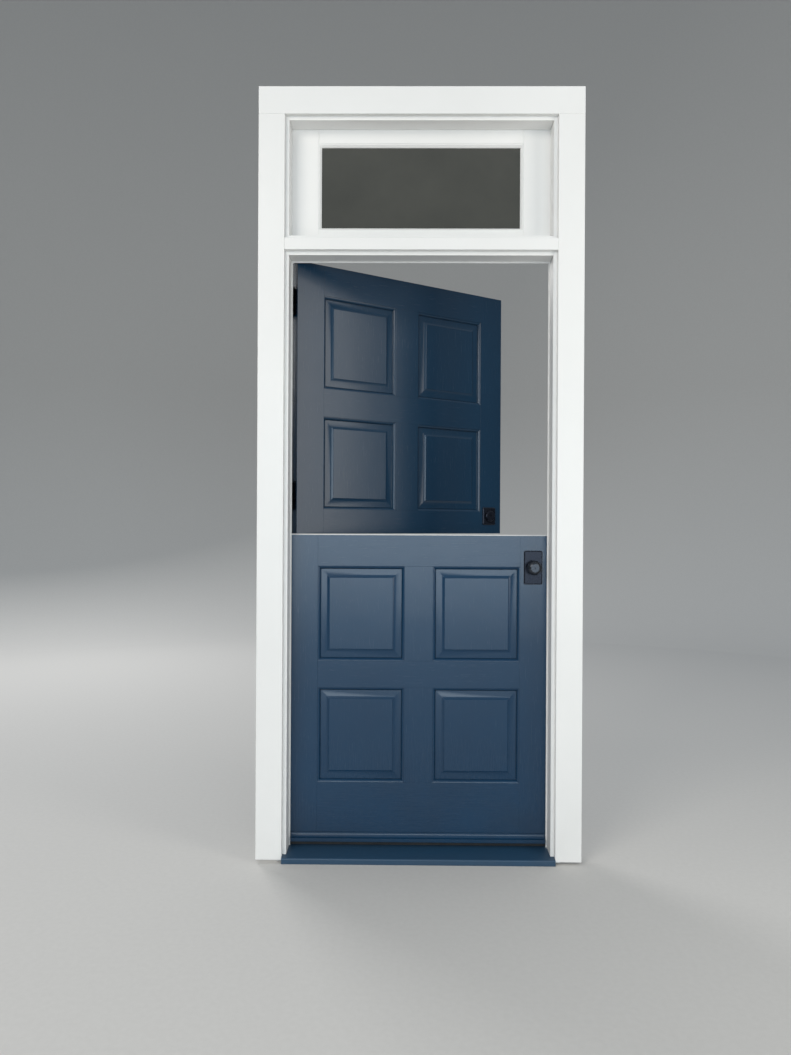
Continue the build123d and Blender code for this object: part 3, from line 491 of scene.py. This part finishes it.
def add_screw(mesh, place, radius, crown):
    """A domed countersunk head, its rim a hair above the face that it is sunk in."""
    rim, skirt, recess_floor, recess_taper = 0.00012, -0.0006, 0.00004, 0.82
    dome_shares = (1.0, 0.94, 0.8, 0.66)

    def dome(share):
        return rim + crown * (1 - share ** 2)

    rings = [[(1.0, skirt)] * len(head_angles)]
    for share in dome_shares:
        rings.append([(share, dome(share))] * len(head_angles))
    rings.append([(cross_reach(angle), dome(cross_reach(angle))) for angle in head_angles])
    rings.append([(recess_taper * cross_reach(angle), recess_floor) for angle in head_angles])
    loops = []
    for ring in rings:
        loops.append([mesh.verts.new(place @ Vector((radius * share * math.cos(angle),
                                                     radius * share * math.sin(angle), height)))
                      for angle, (share, height) in zip(head_angles, ring)])
    for level, (outer, inner) in enumerate(zip(loops, loops[1:])):
        for step in range(len(head_angles)):
            after = (step + 1) % len(head_angles)
            face = mesh.faces.new((outer[step], outer[after], inner[after], inner[step]))
            face.smooth = 0 < level < len(loops) - 2
    bottom = mesh.verts.new(place @ Vector((0, 0, skirt)))
    top = mesh.verts.new(place @ Vector((0, 0, recess_floor)))
    for step in range(len(head_angles)):
        after = (step + 1) % len(head_angles)
        mesh.faces.new((loops[0][after], loops[0][step], bottom))
        mesh.faces.new((loops[-1][step], loops[-1][after], top))


def screws(name, body, slot, points, normal, radius, crown=plate_crown, swing=Matrix.Identity(4)):
    """One piece of screws that share a body, a size and a direction."""
    mesh = bmesh.new()
    facing = Vector(normal).to_track_quat("Z", "Y").to_matrix().to_4x4()
    for index, point in enumerate(points):
        driven = Matrix.Rotation(first_turn + next_turn * index, 4, "Z")
        add_screw(mesh, swing @ Matrix.Translation(point) @ facing @ driven, radius, crown)
    data = bpy.data.meshes.new(name)
    mesh.to_mesh(data)
    mesh.free()
    data.materials.append(unpainted[slot])
    made = bpy.data.objects.new(name, data)
    scene.collection.objects.link(made)
    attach(made, body)


# Where the screws sit, on both leaves as they are when shut
lock_x, edge_middle, knob_height = joints["knob_turn"]["pos_m"]
deadbolt_height = joints["deadbolt_turn_turn"]["pos_m"][2]
jamb_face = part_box("strike_plates")[0].x
leaf_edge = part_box("latch_case")[1].x
leaf_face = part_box("lower_lock_stile")[1].y
plate_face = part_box("knob_plate_inside")[1].y

# Butt hinges: four staggered holes a plate, as distances from the pin and from the plate's middle
butt_height = 0.102
butt_holes = ((0.020, 0.038), (0.033, 0.0135), (0.033, -0.0135), (0.020, -0.038))


def butt_points(x, *plates):
    """The screws of the lower and the upper butt of each node of hinge plates."""
    points = []
    for low, high in map(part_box, plates):
        for middle in (low.z + butt_height / 2, high.z - butt_height / 2):
            points += [(x, hinge_axis.y - from_pin, middle + rise) for from_pin, rise in butt_holes]
    return points


screws("screws_hinge_frame", "frame", "dark_bronze",
       butt_points(-jamb_face, "lower_hinge_leaves", "upper_hinge_leaves"), (1, 0, 0), hinge_screw)
screws("screws_hinge_lower", "lower_leaf", "dark_bronze",
       butt_points(-leaf_edge, "lower_hinge_leaves"), (-1, 0, 0), hinge_screw)
screws("screws_hinge_upper", "upper_leaf", "dark_bronze",
       butt_points(-leaf_edge, "upper_hinge_leaves"), (-1, 0, 0), hinge_screw, swing=ajar)

# Locks: two screws in each strike, faceplate and inside plate
faceplate_rise, knob_plate_rise, deadbolt_plate_rise = 0.0208, 0.046, 0.0265


def pair(x, y, height, rise):
    """Two screws, one as far above a height as the other is below it."""
    return [(x, y, height - rise), (x, y, height + rise)]


screws("screws_strike", "frame", "dark_bronze",
       pair(jamb_face, edge_middle, knob_height, faceplate_rise)
       + pair(jamb_face, edge_middle, deadbolt_height, faceplate_rise),
       (-1, 0, 0), plate_screw)
screws("screws_latch", "lower_leaf", "lock_steel",
       pair(leaf_edge, edge_middle, knob_height, faceplate_rise), (1, 0, 0), plate_screw)
screws("screws_deadbolt", "upper_leaf", "lock_steel",
       pair(leaf_edge, edge_middle, deadbolt_height, faceplate_rise), (1, 0, 0), plate_screw, swing=ajar)
screws("screws_knob_plate", "lower_leaf", "dark_bronze",
       pair(lock_x, plate_face, knob_height, knob_plate_rise), (0, 1, 0), plate_screw)
screws("screws_deadbolt_plate", "upper_leaf", "dark_bronze",
       pair(lock_x, plate_face, deadbolt_height, deadbolt_plate_rise), (0, 1, 0), plate_screw, swing=ajar)

# Surface bolt: its body's plate has four screws, and the keeper under it has two in line with them
keeper_low, keeper_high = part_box("bolt_keeper")
body_low, body_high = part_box("surface_bolt_body")
keeper_x, keeper_height = (keeper_low.x + keeper_high.x) / 2, (keeper_low.z + keeper_high.z) / 2
body_height = (body_low.z + body_high.z) / 2
bolt_plate_thickness, screw_side, screw_rise = 0.0025, 0.0085, 0.020
body_screws, keeper_screws = [], []
for x in (keeper_x - screw_side, keeper_x + screw_side):
    body_screws += pair(x, leaf_face + bolt_plate_thickness, body_height, screw_rise)
    keeper_screws.append((x, keeper_high.y, keeper_height))
screws("screws_surface_bolt", "upper_leaf", "dark_bronze", body_screws, (0, 1, 0), small_screw,
       small_crown, swing=ajar)
screws("screws_keeper", "lower_leaf", "dark_bronze", keeper_screws, (0, 1, 0), small_screw, small_crown)

# Jambs: the screws that hold the frame in its opening, at its two patterns of holes
mounts = {mount["name"]: mount for mount in frame["record"]["mounts"]}
for jamb, side in (("hinge", -1), ("strike", 1)):
    pattern = mounts["jamb_screws_" + jamb + "_side"]
    middle_y, middle_z = pattern["pos_m"][1:]
    half_width = pattern["dims"]["spacing_x_mm"] / 1000 / 2
    half_height = pattern["dims"]["spacing_y_mm"] / 1000 / 2
    jamb_screws = []
    for y in (middle_y - half_width, middle_y + half_width):
        jamb_screws += pair(side * jamb_face, y, middle_z, half_height)
    screws("screws_jamb_" + jamb, "frame", "lock_steel", jamb_screws, (-side, 0, 0), hinge_screw)


# Floor and backdrop: a pale disc, and a pale wall all round it that bends up from its edge

def sweep_round(name, outline, closed=False, segments=96):
    """A surface swept round the Z axis from (radius, height) points; closed, its first ring is filled."""
    sheet = bmesh.new()
    rings = []
    for radius, height in outline:
        ring = []
        for step in range(segments):
            angle = 2 * math.pi * step / segments
            ring.append(sheet.verts.new((radius * math.cos(angle), radius * math.sin(angle), height)))
        rings.append(ring)
    for inner, outer in zip(rings, rings[1:]):
        for step in range(segments):
            after = (step + 1) % segments
            sheet.faces.new((inner[step], outer[step], outer[after], inner[after]))
    if closed:
        sheet.faces.new(rings[0])
    for face in sheet.faces:
        face.smooth = True
    mesh = bpy.data.meshes.new(name)
    sheet.to_mesh(mesh)
    sheet.free()
    mesh.materials.append(pale_plaster)
    made = bpy.data.objects.new(name, mesh)
    scene.collection.objects.link(made)
    return made


middle_radius, flat_radius, bend_radius, wall_height, bend_steps = 0.5, 5.5, 3.0, 12.0, 16
bend = []
for step in range(bend_steps + 1):
    angle = math.pi / 2 * step / bend_steps
    bend.append((flat_radius + bend_radius * math.sin(angle), bend_radius * (1 - math.cos(angle))))
sweep_round("floor", [(middle_radius, 0.0), (flat_radius, 0.0)], closed=True)
backdrop = sweep_round("backdrop", bend + [(flat_radius + bend_radius, wall_height)])
backdrop.visible_diffuse = backdrop.visible_glossy = backdrop.visible_shadow = False
